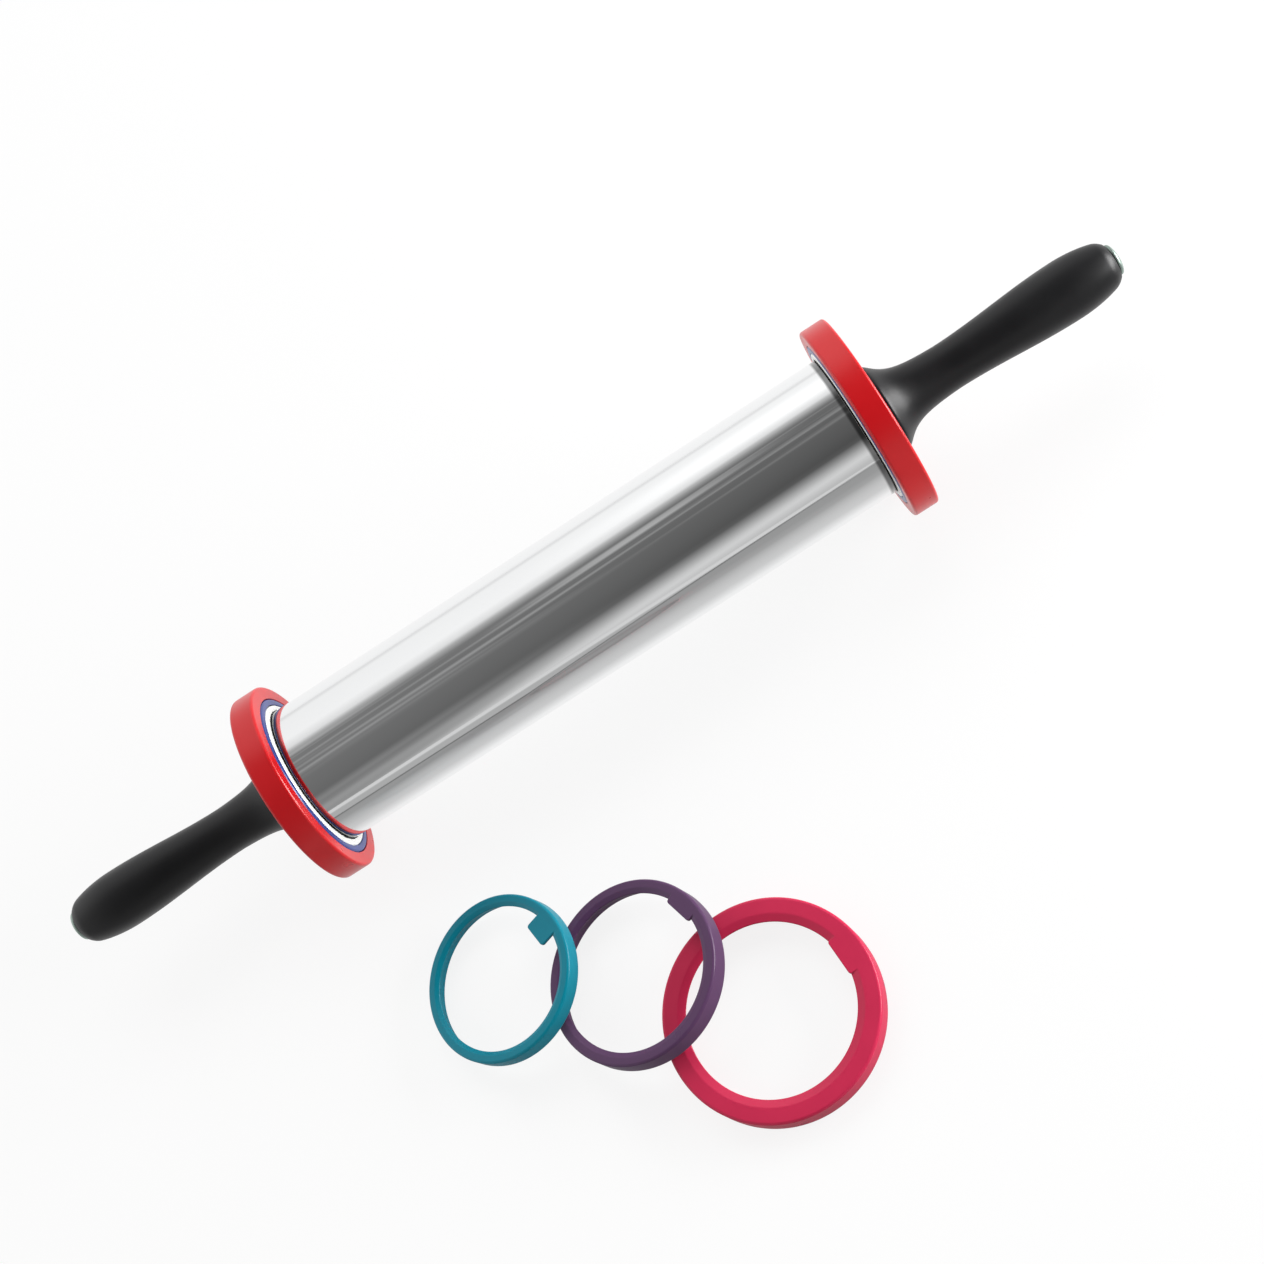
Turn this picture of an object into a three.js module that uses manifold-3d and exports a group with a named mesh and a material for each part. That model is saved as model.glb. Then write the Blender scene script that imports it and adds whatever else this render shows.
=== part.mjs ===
// A metal rolling pin with ball bearings, turning handles and push-on thickness rings.
// Millimetres, +Z up. The pin lies along X on its two large rings, and three spare rings
// lie in front of it, each one leaning on the next.
import * as THREE from "three";
import { mergeVertices } from "three/addons/utils/BufferGeometryUtils.js";
import Module from "manifold-3d";

const wasm = await Module();
wasm.setup();

// Clearances
const fit = 0.3; // between pieces that seat on each other
const ballGap = 0.17; // between a ball and its raceways
const pocketGap = 0.25; // between a ball and its pocket in the cage
const overrun = 1; // how far a cutting tool passes its work
const mergeTolerance = 0.0003; // points closer than this are one point

// Steel barrel
const barrelDiameter = 60;
const barrelLength = 253.2;
const tubeWall = 1.5;
const tubeChamfer = 0.4;

// End plugs in the barrel
const plugReveal = 0.35; // black line between the barrel and the small ring
const plugDepth = 18;
const spigotWall = 3;
const plugWeb = 4.5;
const hubWall = 3;
const collarStand = 0.1; // how far the collar stands above the barrel
const collarChamfer = 0.5;
const shoulderThickness = 3;

// Thickness rings: each step is how far a ring lifts the barrel off the board
const smallStep = 3;
const mediumStep = 6;
const largeStep = 12;
const seatDepth = 5.85; // how far the small ring pushes onto the plug
const faceStep = 0.225; // how far each ring's inner face stands behind the next smaller one's
const lipThickness = 1.6;
const smallLip = 2;
const mediumLip = 2.6;
const largeLip = 3.4;
const smallBevel = 1.6;
const mediumBevel = 2;
const largeBevel = 3;
const bevelDrop = 1;
const ringEdge = 0.8;

// Finger tab on each ring
const smallTabWidth = 11;
const mediumTabWidth = 13;
const largeTabWidth = 15;
const smallTabReach = 6.3;
const mediumTabReach = 2;
const largeTabReach = 1.3;
const tabCorner = 1.2;

// Ball bearings
const axleDiameter = 8;
const bearingDiameter = 22;
const bearingWidth = 7;
const bearingInset = 3.5; // from the plug's end face
const ballShare = 0.567; // ball's diameter in the space between axle and bearing seat
const openingShare = 0.27; // gap between the two races' shoulders in the same space
const cageThickness = 0.8;
const cageRim = 0.5;
const raceChamfer = 0.3;

// Axle, its clips and washers
const axleChamfer = 0.8;
const clipThickness = 1;
const clipDiameter = 12.6;
const clipMouth = 5;
const grooveDepth = 0.8;
const washerThickness = 1;
const washerDiameter = 12.6;

// Handles
const handleGap = 1.4; // from the large ring's outer face to the flare
const handleLength = 102;
const flareRadius = 18;
const flareRim = 1.2;
const neckRadius = 9.6;
const bellyRadius = 12.25;
const tipRadius = 8.55;
const flareEdge = 0.5;
const coreRadius = 7.2;
const noseRadius = 6.3;
const coreSetback = 1; // core's end below the grip's end
const neckShare = 0.28; // place of the neck along the handle
const bellyShare = 0.8; // place of the widest point along the handle
const flareSharpness = 8; // how fast the trumpet falls to the neck
const flareCurl = 1.5; // how long the trumpet stays wide behind its rim

// Domed cap nuts at the tips
const capRim = 1;
const capEdge = 0.6;
const capDome = 1.9;
const capShankRadius = 5.5;
const capShankLength = 14;
const capFloor = 3.3; // metal between the nut's blind bore and its flange face
const axleEndGap = 1;

// Where the spare rings lie, from the middle of the pin
const looseLargeX = -16.3;
const looseLargeY = -169.3;
const looseMediumSpacing = 52.4;
const looseSmallSpacing = 55.3;
const looseMediumBearing = 135; // degrees, from the large ring to the medium one
const looseSmallBearing = 150; // degrees, from the medium ring to the small one
const looseLargeTab = 5; // degrees, direction of each spare ring's tab
const looseMediumTab = 19;
const looseSmallTab = 13;
const mountedTab = 0; // degrees from straight up, tabs of the rings on the pin

// Facets and counts
const ringSides = 32;
const gripSides = 24;
const raceSides = 20;
const smallSides = 16;
const axleSides = 12;
const clipSegments = 6;
const cornerSegments = 2;
const ballCount = 7;
const pocketSides = 8;
const flareSteps = 4;
const swellSteps = 2;
const tipSteps = 4;
const domeSteps = 3;
const grooveSteps = 4;
const leanRounds = 6;
const leanRings = 8;
const leanPoints = 180;

// Places along the axis, measured outwards from the middle of the barrel
const barrelRadius = barrelDiameter / 2;
const tubeEnd = barrelLength / 2;
const ringFace = tubeEnd + plugReveal;
const plugFace = ringFace + seatDepth - fit;
const bearingOuterFace = plugFace - bearingInset;
const bearingInnerFace = bearingOuterFace - bearingWidth;
const washerStart = bearingOuterFace + fit;
const noseStart = washerStart + washerThickness + fit;
const clipEnd = bearingInnerFace - fit;
const clipStart = clipEnd - clipThickness;

// Radii about the axis
const axleRadius = axleDiameter / 2;
const bearingRadius = bearingDiameter / 2;
const bearingSpace = bearingRadius - axleRadius;
const ballRadius = (bearingSpace * ballShare) / 2;
const raceOpening = bearingSpace * openingShare;
const pitchRadius = (axleRadius + bearingRadius) / 2;
const grooveRadius = ballRadius + ballGap;
const collarRadius = barrelRadius + collarStand;
const spigotRadius = barrelRadius - tubeWall - fit;

function ringSpec(level, bore, step, lip, bevel, tabWidth, tabReach) {
  const outer = barrelRadius + step;
  const face = ringFace + level * faceStep;
  const width = seatDepth + lipThickness + level * (lipThickness + fit - faceStep);
  return { face, bore, outer, width, lipRadius: bore - lip, bevel, tabWidth, tabReach };
}
const smallRing = ringSpec(
  0, collarRadius + fit, smallStep, smallLip, smallBevel, smallTabWidth, smallTabReach,
);
const mediumRing = ringSpec(
  1, smallRing.outer + fit, mediumStep, mediumLip, mediumBevel, mediumTabWidth, mediumTabReach,
);
const largeRing = ringSpec(
  2, mediumRing.outer + fit, largeStep, largeLip, largeBevel, largeTabWidth, largeTabReach,
);

const gripStart = largeRing.face + largeRing.width + handleGap;
const gripEnd = gripStart + handleLength;
const capFace = gripEnd + fit;
const capShankStart = gripEnd - capShankLength;
const capBoreEnd = capFace - capFloor;
const axleEnd = capBoreEnd - axleEndGap;
const axisHeight = largeRing.outer * Math.cos(Math.PI / ringSides);

// Colours and finishes
function finish(color, roughness, metalness = 0) {
  return new THREE.MeshStandardMaterial({ color, roughness, metalness });
}
const steel = finish(0xd4d6d8, 0.08, 1);
const bearingSteel = finish(0xb9bcc0, 0.2, 1);
const springSteel = finish(0x5a5d62, 0.35, 1);
const capMetal = finish(0xb8beba, 0.3, 1);
const blackNylon = finish(0x17181a, 0.55);
const softBlack = finish(0x202124, 0.75);
const white = finish(0xf3f4f1, 0.45);
const blue = finish(0x3f4f9a, 0.45);
const red = finish(0xc8202a, 0.45);
const teal = finish(0x0f8a9d, 0.45);
const purple = finish(0x553a5c, 0.45);
const crimson = finish(0xc0264a, 0.45);

// A solid turned about the X axis. The outline holds [place along X, radius] pairs and either
// closes on itself or starts and ends on the axis. A flat facet faces straight down.
function turned(outline, sides) {
  const points = outline.map(([along, radius]) => new THREE.Vector2(radius, along));
  if (THREE.ShapeUtils.area(points) < 0) points.reverse();
  const onAxis = points[0].x === 0 && points[points.length - 1].x === 0;
  if (!onAxis) points.push(points[0].clone());
  return new THREE.LatheGeometry(points, sides, Math.PI / sides).rotateZ(-Math.PI / 2);
}

function toSolid(geometry) {
  const bare = geometry.clone();
  bare.deleteAttribute("normal");
  bare.deleteAttribute("uv");
  const merged = mergeVertices(bare, mergeTolerance);
  const vertProperties = merged.attributes.position.array;
  const triVerts = merged.index.array;
  return new wasm.Manifold(new wasm.Mesh({ numProp: 3, vertProperties, triVerts }));
}

function fromSolid(solid) {
  const { vertProperties, triVerts } = solid.getMesh();
  const geometry = new THREE.BufferGeometry();
  geometry.setAttribute("position", new THREE.BufferAttribute(vertProperties, 3));
  geometry.setIndex(new THREE.BufferAttribute(triVerts, 1));
  geometry.computeVertexNormals();
  return geometry;
}

function piece(name, geometry, material, place = 0) {
  const mesh = new THREE.Mesh(geometry, material);
  mesh.name = name;
  mesh.position.x = place;
  return mesh;
}

function barrelTube() {
  const bore = barrelRadius - tubeWall;
  const outline = [
    [-tubeEnd, bore],
    [tubeEnd, bore],
    [tubeEnd, barrelRadius - tubeChamfer],
    [tubeEnd - tubeChamfer, barrelRadius],
    [tubeChamfer - tubeEnd, barrelRadius],
    [-tubeEnd, barrelRadius - tubeChamfer],
  ];
  return turned(outline, ringSides);
}

// Nylon plug: a spigot inside the tube, a hub round the bearing and a collar for the rings
function endPlug() {
  const seat = bearingRadius + fit;
  const throughBore = pitchRadius + raceOpening / 2;
  const hubStart = bearingInnerFace - fit - shoulderThickness;
  const spigotStart = tubeEnd - plugDepth;
  const webStart = plugFace - plugWeb;
  const outline = [
    [hubStart, throughBore],
    [bearingInnerFace - fit, throughBore],
    [bearingInnerFace - fit, seat],
    [plugFace, seat],
    [plugFace, collarRadius - collarChamfer],
    [plugFace - collarChamfer, collarRadius],
    [tubeEnd + fit, collarRadius],
    [tubeEnd + fit, spigotRadius],
    [spigotStart, spigotRadius],
    [spigotStart, spigotRadius - spigotWall],
    [webStart, spigotRadius - spigotWall],
    [webStart, seat + hubWall],
    [hubStart, seat + hubWall],
  ];
  return turned(outline, ringSides);
}

// Points of a raceway groove, from the low side to the high side of the race
function groovePoints(centre, shoulder) {
  const depth = Math.abs(shoulder - pitchRadius);
  const half = Math.acos(depth / grooveRadius);
  const inward = Math.sign(shoulder - pitchRadius);
  const points = [];
  for (let i = 0; i <= grooveSteps; i++) {
    const angle = half * ((2 * i) / grooveSteps - 1);
    const radius = pitchRadius + inward * grooveRadius * Math.cos(angle);
    points.push([centre + grooveRadius * Math.sin(angle), radius]);
  }
  return points;
}

function innerRace() {
  const bore = axleRadius + fit;
  const shoulder = pitchRadius - raceOpening / 2;
  const middle = (bearingInnerFace + bearingOuterFace) / 2;
  const outline = [
    [bearingOuterFace, bore],
    [bearingInnerFace, bore],
    [bearingInnerFace, shoulder],
    ...groovePoints(middle, shoulder),
    [bearingOuterFace, shoulder],
  ];
  return turned(outline, raceSides);
}

function outerRace() {
  const shoulder = pitchRadius + raceOpening / 2;
  const middle = (bearingInnerFace + bearingOuterFace) / 2;
  const outline = [
    [bearingOuterFace, shoulder],
    [bearingOuterFace, bearingRadius - raceChamfer],
    [bearingOuterFace - raceChamfer, bearingRadius],
    [bearingInnerFace + raceChamfer, bearingRadius],
    [bearingInnerFace, bearingRadius - raceChamfer],
    [bearingInnerFace, shoulder],
    ...groovePoints(middle, shoulder),
  ];
  return turned(outline, raceSides);
}

function ballPlace(index) {
  const angle = (2 * Math.PI * index) / ballCount;
  const middle = (bearingInnerFace + bearingOuterFace) / 2;
  return new THREE.Vector3(middle, pitchRadius * Math.cos(angle), pitchRadius * Math.sin(angle));
}

// Cage: a thin ring with a round pocket for each ball
function bearingCage() {
  const pocket = ballRadius + pocketGap;
  const half = pocket + cageRim;
  const middle = (bearingInnerFace + bearingOuterFace) / 2;
  const inner = pitchRadius - cageThickness / 2;
  const outer = pitchRadius + cageThickness / 2;
  const outline = [
    [middle - half, inner],
    [middle + half, inner],
    [middle + half, outer],
    [middle - half, outer],
  ];
  let solid = toSolid(turned(outline, raceSides));
  for (let i = 0; i < ballCount; i++) {
    const drill = new THREE.CylinderGeometry(pocket, pocket, cageThickness + 2 * overrun, pocketSides);
    drill.rotateX((2 * Math.PI * i) / ballCount);
    const place = ballPlace(i);
    solid = solid.subtract(toSolid(drill.translate(place.x, place.y, place.z)));
  }
  return fromSolid(solid);
}

function bearingBall(index) {
  const place = ballPlace(index);
  return new THREE.IcosahedronGeometry(ballRadius, 1).translate(place.x, place.y, place.z);
}

// Steel rod through both handles, with a groove for each retaining clip
function axleRod() {
  const groove = axleRadius - grooveDepth;
  const half = [
    [clipStart - fit, axleRadius],
    [clipStart - fit, groove],
    [clipEnd + fit, groove],
    [clipEnd + fit, axleRadius],
    [axleEnd - axleChamfer, axleRadius],
    [axleEnd, axleRadius - axleChamfer],
    [axleEnd, 0],
  ];
  const mirrored = half.map(([along, radius]) => [-along, radius]).reverse();
  return turned([...mirrored, ...half], axleSides);
}

// Open retaining clip that snaps into the axle's groove
function axleClip() {
  const inner = axleRadius - grooveDepth + fit;
  const outer = clipDiameter / 2;
  const innerTurn = Math.asin(clipMouth / 2 / inner);
  const outerTurn = Math.asin(clipMouth / 2 / outer);
  const outline = new THREE.Shape();
  outline.absarc(0, 0, outer, outerTurn, 2 * Math.PI - outerTurn, false);
  outline.absarc(0, 0, inner, 2 * Math.PI - innerTurn, innerTurn, true);
  outline.closePath();
  const settings = { depth: clipThickness, bevelEnabled: false, curveSegments: clipSegments };
  return new THREE.ExtrudeGeometry(outline, settings).rotateY(Math.PI / 2).translate(clipStart, 0, 0);
}

function thrustWasher() {
  const outline = [
    [washerStart, axleRadius + fit],
    [washerStart + washerThickness, axleRadius + fit],
    [washerStart + washerThickness, washerDiameter / 2],
    [washerStart, washerDiameter / 2],
  ];
  return turned(outline, smallSides);
}

// Hard core of a handle: a nose that presses on the washer and a tube inside the grip
function handleCore() {
  const bore = axleRadius + fit;
  const counterBore = capShankRadius + fit;
  const end = gripEnd - coreSetback;
  const outline = [
    [noseStart, bore],
    [capShankStart - fit, bore],
    [capShankStart - fit, counterBore],
    [end, counterBore],
    [end, coreRadius],
    [gripStart - fit, coreRadius],
    [gripStart - fit, noseRadius],
    [noseStart, noseRadius],
  ];
  return turned(outline, smallSides);
}

// Soft grip: a flared rim that falls in a trumpet curve to the neck, swells to the belly
// and rounds off to the tip
function handleGrip() {
  const bore = coreRadius + fit;
  const rimEnd = gripStart + flareRim;
  const neck = gripStart + neckShare * handleLength;
  const belly = gripStart + bellyShare * handleLength;
  const outline = [
    [gripStart, bore],
    [gripStart, flareRadius - flareEdge],
    [gripStart + flareEdge, flareRadius],
  ];
  for (let i = 0; i <= flareSteps; i++) {
    const t = (i / flareSteps) ** 2;
    const fall = (1 - t) / (1 + flareSharpness * t ** flareCurl);
    outline.push([rimEnd + t * (neck - rimEnd), neckRadius + (flareRadius - neckRadius) * fall]);
  }
  for (let i = 1; i < swellSteps; i++) {
    const t = i / swellSteps;
    const rise = Math.sin((Math.PI / 2) * t) ** 2;
    outline.push([neck + t * (belly - neck), neckRadius + (bellyRadius - neckRadius) * rise]);
  }
  const taper = 1 - (tipRadius / bellyRadius) ** 2;
  for (let i = 0; i <= tipSteps; i++) {
    const t = i / tipSteps;
    outline.push([belly + t * (gripEnd - belly), bellyRadius * Math.sqrt(1 - taper * t * t)]);
  }
  outline.push([gripEnd, bore]);
  return turned(outline, gripSides);
}

// Domed cap nut, screwed onto the axle's end through the handle's core
function capNut() {
  const radius = tipRadius - capRim;
  const domeStart = capFace + capEdge;
  const outline = [
    [capBoreEnd, 0],
    [capBoreEnd, axleRadius + fit],
    [capShankStart, axleRadius + fit],
    [capShankStart, capShankRadius],
    [capFace, capShankRadius],
    [capFace, radius],
  ];
  for (let i = 0; i <= domeSteps; i++) {
    const angle = (i / domeSteps) * (Math.PI / 2);
    outline.push([domeStart + capDome * Math.sin(angle), i < domeSteps ? radius * Math.cos(angle) : 0]);
  }
  return turned(outline, smallSides);
}

// A thickness ring: its seat slides over the collar or over the next smaller ring, and its lip
// stops on that piece's outer face. The tab lies in the lip's plane and points up.
function thicknessRing(spec) {
  const { bore, outer, width, lipRadius, bevel } = spec;
  const outline = [
    [0, bore],
    [0, outer - ringEdge],
    [ringEdge, outer],
    [width - ringEdge, outer],
    [width, outer - ringEdge],
    [width, lipRadius + bevel],
    [width - bevelDrop, lipRadius],
    [width - lipThickness, lipRadius],
    [width - lipThickness, bore],
  ];
  const ring = toSolid(turned(outline, ringSides));
  return fromSolid(ring.add(toSolid(ringTab(spec))));
}

function ringTab({ outer, width, lipRadius, tabWidth, tabReach }) {
  const low = lipRadius - tabReach;
  const high = outer - 2 * ringEdge;
  const half = tabWidth / 2;
  const outline = new THREE.Shape();
  outline.moveTo(-half, high);
  outline.lineTo(-half, low + tabCorner);
  outline.absarc(tabCorner - half, low + tabCorner, tabCorner, Math.PI, 1.5 * Math.PI, false);
  outline.absarc(half - tabCorner, low + tabCorner, tabCorner, 1.5 * Math.PI, 2 * Math.PI, false);
  outline.lineTo(half, high);
  outline.closePath();
  const settings = { depth: lipThickness, bevelEnabled: false, curveSegments: cornerSegments };
  const plate = new THREE.ExtrudeGeometry(outline, settings);
  return plate.rotateX(Math.PI / 2).rotateZ(Math.PI / 2).translate(width - lipThickness, 0, 0);
}

// Everything at one end of the pin, built for the right end
function pinEnd(side) {
  const end = new THREE.Group();
  end.add(
    piece("end_plug_" + side, endPlug(), blackNylon),
    piece("bearing_outer_race_" + side, outerRace(), bearingSteel),
    piece("bearing_inner_race_" + side, innerRace(), bearingSteel),
    piece("bearing_cage_" + side, bearingCage(), springSteel),
    piece("axle_clip_" + side, axleClip(), springSteel),
    piece("thrust_washer_" + side, thrustWasher(), bearingSteel),
    piece("handle_core_" + side, handleCore(), blackNylon),
    piece("handle_grip_" + side, handleGrip(), softBlack),
    piece("end_cap_nut_" + side, capNut(), capMetal),
  );
  for (let i = 0; i < ballCount; i++) {
    end.add(piece("bearing_ball_" + side + "_" + (i + 1), bearingBall(i), bearingSteel));
  }
  const rings = [
    ["ring_small_", smallRing, white],
    ["ring_medium_", mediumRing, blue],
    ["ring_large_", largeRing, red],
  ];
  for (const [name, spec, material] of rings) {
    const ring = piece(name + side, thicknessRing(spec), material, spec.face);
    ring.rotation.x = THREE.MathUtils.degToRad(mountedTab);
    end.add(ring);
  }
  end.position.z = axisHeight;
  if (side === "left") end.rotation.z = Math.PI;
  return end;
}

// Turn that lays a ring flat with its lip up and its tab in the given direction
function flatTurn(tabDegrees) {
  const lay = new THREE.Matrix4().makeRotationY(-Math.PI / 2);
  return new THREE.Matrix4().makeRotationZ(THREE.MathUtils.degToRad(tabDegrees) - Math.PI).multiply(lay);
}

function direction(degrees) {
  const angle = THREE.MathUtils.degToRad(degrees);
  return new THREE.Vector3(Math.cos(angle), Math.sin(angle), 0);
}

// Matrix that tips a ring about the low point of its underside, with its far side raised
function leanMatrix(spec, centre, towards, angle) {
  const pivot = centre.clone().addScaledVector(towards, ringEdge - spec.outer);
  const axis = towards.clone().cross(new THREE.Vector3(0, 0, 1));
  const tip = new THREE.Matrix4().makeRotationAxis(axis, angle);
  const there = new THREE.Matrix4().makeTranslation(pivot.x, pivot.y, pivot.z);
  const offset = centre.clone().sub(pivot);
  return there.multiply(tip).multiply(new THREE.Matrix4().makeTranslation(offset.x, offset.y, offset.z));
}

// Angle at which a ring tipped towards the lower ring just clears the lower ring's top face
function leanAngle(spec, centre, towards, lower) {
  const pivot = centre.clone().addScaledVector(towards, ringEdge - spec.outer);
  const across = new THREE.Vector3(-towards.y, towards.x, 0);
  const reach = spec.outer - ringEdge;
  let angle = 0;
  for (let round = 0; round < leanRounds; round++) {
    let slope = 0;
    for (let i = 0; i <= leanRings; i++) {
      const radius = lower.spec.lipRadius + ((lower.spec.outer - lower.spec.lipRadius) * i) / leanRings;
      for (let j = 0; j < leanPoints; j++) {
        const turn = (2 * Math.PI * j) / leanPoints;
        const point = new THREE.Vector3(radius * Math.cos(turn), radius * Math.sin(turn), lower.spec.width);
        point.applyMatrix4(lower.matrix).sub(pivot);
        const along = point.dot(towards);
        const distance = Math.hypot(along / Math.cos(angle) - reach, point.dot(across));
        const over = distance > spec.bore - fit && distance < spec.outer + fit;
        if (over && along > 0) slope = Math.max(slope, (point.z + fit) / along);
      }
    }
    angle = Math.atan(slope);
  }
  return angle;
}

// The three spare rings: the large one lies flat, the medium one leans on it, and the small
// one leans on the medium one
function looseRings() {
  const group = new THREE.Group();
  const largeAt = new THREE.Vector3(looseLargeX, looseLargeY, 0);
  const mediumAt = largeAt.clone().addScaledVector(direction(looseMediumBearing), looseMediumSpacing);
  const smallAt = mediumAt.clone().addScaledVector(direction(looseSmallBearing), looseSmallSpacing);
  const rows = [
    ["loose_ring_large", largeRing, crimson, largeAt, looseLargeTab, null],
    ["loose_ring_medium", mediumRing, purple, mediumAt, looseMediumTab, looseMediumBearing],
    ["loose_ring_small", smallRing, teal, smallAt, looseSmallTab, looseSmallBearing],
  ];
  let lower = null;
  for (const [name, spec, material, centre, tab, bearing] of rows) {
    let matrix = new THREE.Matrix4().makeTranslation(centre.x, centre.y, centre.z);
    if (lower) {
      const towards = direction(bearing).negate();
      matrix = leanMatrix(spec, centre, towards, leanAngle(spec, centre, towards, lower));
    }
    const geometry = thicknessRing(spec).applyMatrix4(matrix.clone().multiply(flatTurn(tab)));
    geometry.computeBoundingBox();
    const lift = -geometry.boundingBox.min.z;
    group.add(piece(name, geometry.translate(0, 0, lift), material));
    lower = { spec, matrix: new THREE.Matrix4().makeTranslation(0, 0, lift).multiply(matrix) };
  }
  return group;
}

const rollingPin = new THREE.Group();
const tube = piece("barrel_tube", barrelTube(), steel);
const axle = piece("axle_rod", axleRod(), bearingSteel);
for (const long of [tube, axle]) long.position.z = axisHeight;
rollingPin.add(tube, axle, pinEnd("left"), pinEnd("right"), looseRings());

// The origin is the middle of the whole set's footprint, on the surface it stands on
rollingPin.updateMatrixWorld(true);
const box = new THREE.Box3().setFromObject(rollingPin, true);
const middle = box.getCenter(new THREE.Vector3());
rollingPin.position.set(-middle.x, -middle.y, -box.min.z);

export default rollingPin;
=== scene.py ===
"""The finished looks of a steel rolling pin with push-on thickness rings.

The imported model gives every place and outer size. This script models each piece finely round it,
gives it a finish, and sets up a plain studio with a camera.
"""

import math
from collections import Counter

import bmesh
import bpy
from bpy.props import FloatProperty, FloatVectorProperty, PointerProperty
from mathutils import Matrix, Vector


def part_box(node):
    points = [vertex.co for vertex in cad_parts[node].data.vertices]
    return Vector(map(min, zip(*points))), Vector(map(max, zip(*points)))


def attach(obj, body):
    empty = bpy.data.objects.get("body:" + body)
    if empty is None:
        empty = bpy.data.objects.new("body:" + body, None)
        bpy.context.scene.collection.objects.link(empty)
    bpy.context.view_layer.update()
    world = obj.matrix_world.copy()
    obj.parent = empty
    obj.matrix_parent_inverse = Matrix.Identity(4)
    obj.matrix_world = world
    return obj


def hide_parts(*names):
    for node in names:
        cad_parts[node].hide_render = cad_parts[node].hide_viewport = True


bl_info = {
    "name": "Steel Rolling Pin",
    "version": (1, 0, 0),
    "blender": (4, 5, 0),
    "location": "View3D > Sidebar > Rolling Pin",
    "description": "Models a rolling pin with ball bearings and thickness rings",
    "category": "Add Mesh",
}

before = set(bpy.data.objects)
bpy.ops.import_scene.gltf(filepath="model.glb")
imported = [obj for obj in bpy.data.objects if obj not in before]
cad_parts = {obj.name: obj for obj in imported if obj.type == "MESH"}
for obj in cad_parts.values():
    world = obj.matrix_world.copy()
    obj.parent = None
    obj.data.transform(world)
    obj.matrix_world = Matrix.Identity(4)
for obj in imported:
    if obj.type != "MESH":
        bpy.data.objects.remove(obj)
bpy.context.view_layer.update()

MM = 0.001
TINY = 0.00001
MERGE = TINY / 10
SIDES = ("left", "right")
RING_KINDS = ("small", "medium", "large")

# The slots of the rings on the pin and of the spare ones. Each is named after its colour.
RING_SLOTS = {"small": "ring_white", "medium": "ring_blue", "large": "ring_red"}
SPARE_SLOTS = {"small": "spare_teal", "medium": "spare_purple", "large": "spare_crimson"}

BALL_COUNT = 7

# How finely round shapes are cut
BARREL_STEPS = 256
RING_STEPS = 224
GRIP_STEPS = 160
INNER_STEPS = 96
CURVE_STEPS = 20
CORNER_STEPS = 5
BALL_SUBDIVISIONS = 4
BEVEL = {"offset_type": "OFFSET", "profile": 0.5, "clamp_overlap": True, "material": -1}

# The curve from a display's shares to light: straight up to its toe, and then a power
TOE, TOE_SLOPE, OFFSET, POWER = 0.04045, 12.92, 0.055, 2.4


# Sizes and colours that a user may change


def length(name, default, description):
    """A length in metres."""
    return FloatProperty(
        name=name, description=description, default=default, min=0.0, unit="LENGTH"
    )


def lengths(name, default, description):
    """One length in metres for each of the small, medium and large rings."""
    return FloatVectorProperty(
        name=name, description=description, default=default, size=3, min=0.0, unit="LENGTH"
    )


def number(name, default, description):
    """A plain number."""
    return FloatProperty(name=name, description=description, default=default)


def turn(name, degrees, description):
    """An angle."""
    return FloatProperty(
        name=name, description=description, default=math.radians(degrees), subtype="ANGLE"
    )


def linear(share):
    """A display colour's share of full brightness as a share of full light."""
    return share / TOE_SLOPE if share <= TOE else ((share + OFFSET) / (1 + OFFSET)) ** POWER


def colour(name, red, green, blue, description):
    """A colour, written with the shares that a display shows."""
    default = [linear(share) for share in (red, green, blue)]
    limits = {"size": 3, "min": 0.0, "max": 1.0}
    return FloatVectorProperty(
        name=name, description=description, default=default, subtype="COLOR", **limits
    )


class BarrelSizes(bpy.types.PropertyGroup):
    """Sizes of the barrel tube and its end plugs."""

    wall: length("Tube wall", 1.5 * MM, "Thickness of the steel tube")
    tube_edge: length("Tube edge", 0.4 * MM, "Rounding of the tube's ends")
    spigot_depth: length("Spigot depth", 18 * MM, "How far the plug reaches into the tube")
    spigot_wall: length("Spigot wall", 3 * MM, "Thickness of the plug's wall inside the tube")
    web: length("Web", 4.5 * MM, "Thickness of the plug's end wall")
    hub_wall: length("Hub wall", 3 * MM, "Plastic round the bearing")
    shoulder: length("Shoulder", 3 * MM, "Plastic behind the bearing")
    collar_edge: length("Collar edge", 0.6 * MM, "Rounding of the collar that the rings slide on")
    clearance: length("Clearance", 0.3 * MM, "Gap between pieces that seat on each other")


class BearingSizes(bpy.types.PropertyGroup):
    """Sizes of the two ball bearings."""

    opening: length("Opening", 1.9 * MM, "Gap between the shoulders of the two races")
    ball_gap: length("Ball gap", 0.17 * MM, "Gap between a ball and its grooves")
    pocket_gap: length("Pocket gap", 0.25 * MM, "Gap between a ball and its pocket")
    cage_wall: length("Cage wall", 0.8 * MM, "Thickness of the cage")
    race_edge: length("Race edge", 0.3 * MM, "Rounding of the races' corners")


class AxleSizes(bpy.types.PropertyGroup):
    """Sizes of the axle, its clips and its washers."""

    end_edge: length("End edge", 0.8 * MM, "Chamfer of the axle's ends")
    groove_depth: length("Groove depth", 0.8 * MM, "Depth of the groove for each clip")
    clip_mouth: length("Clip mouth", 5 * MM, "Opening of the retaining clip")
    plate_edge: length("Plate edge", 0.15 * MM, "Rounding of the clips and washers")


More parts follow.
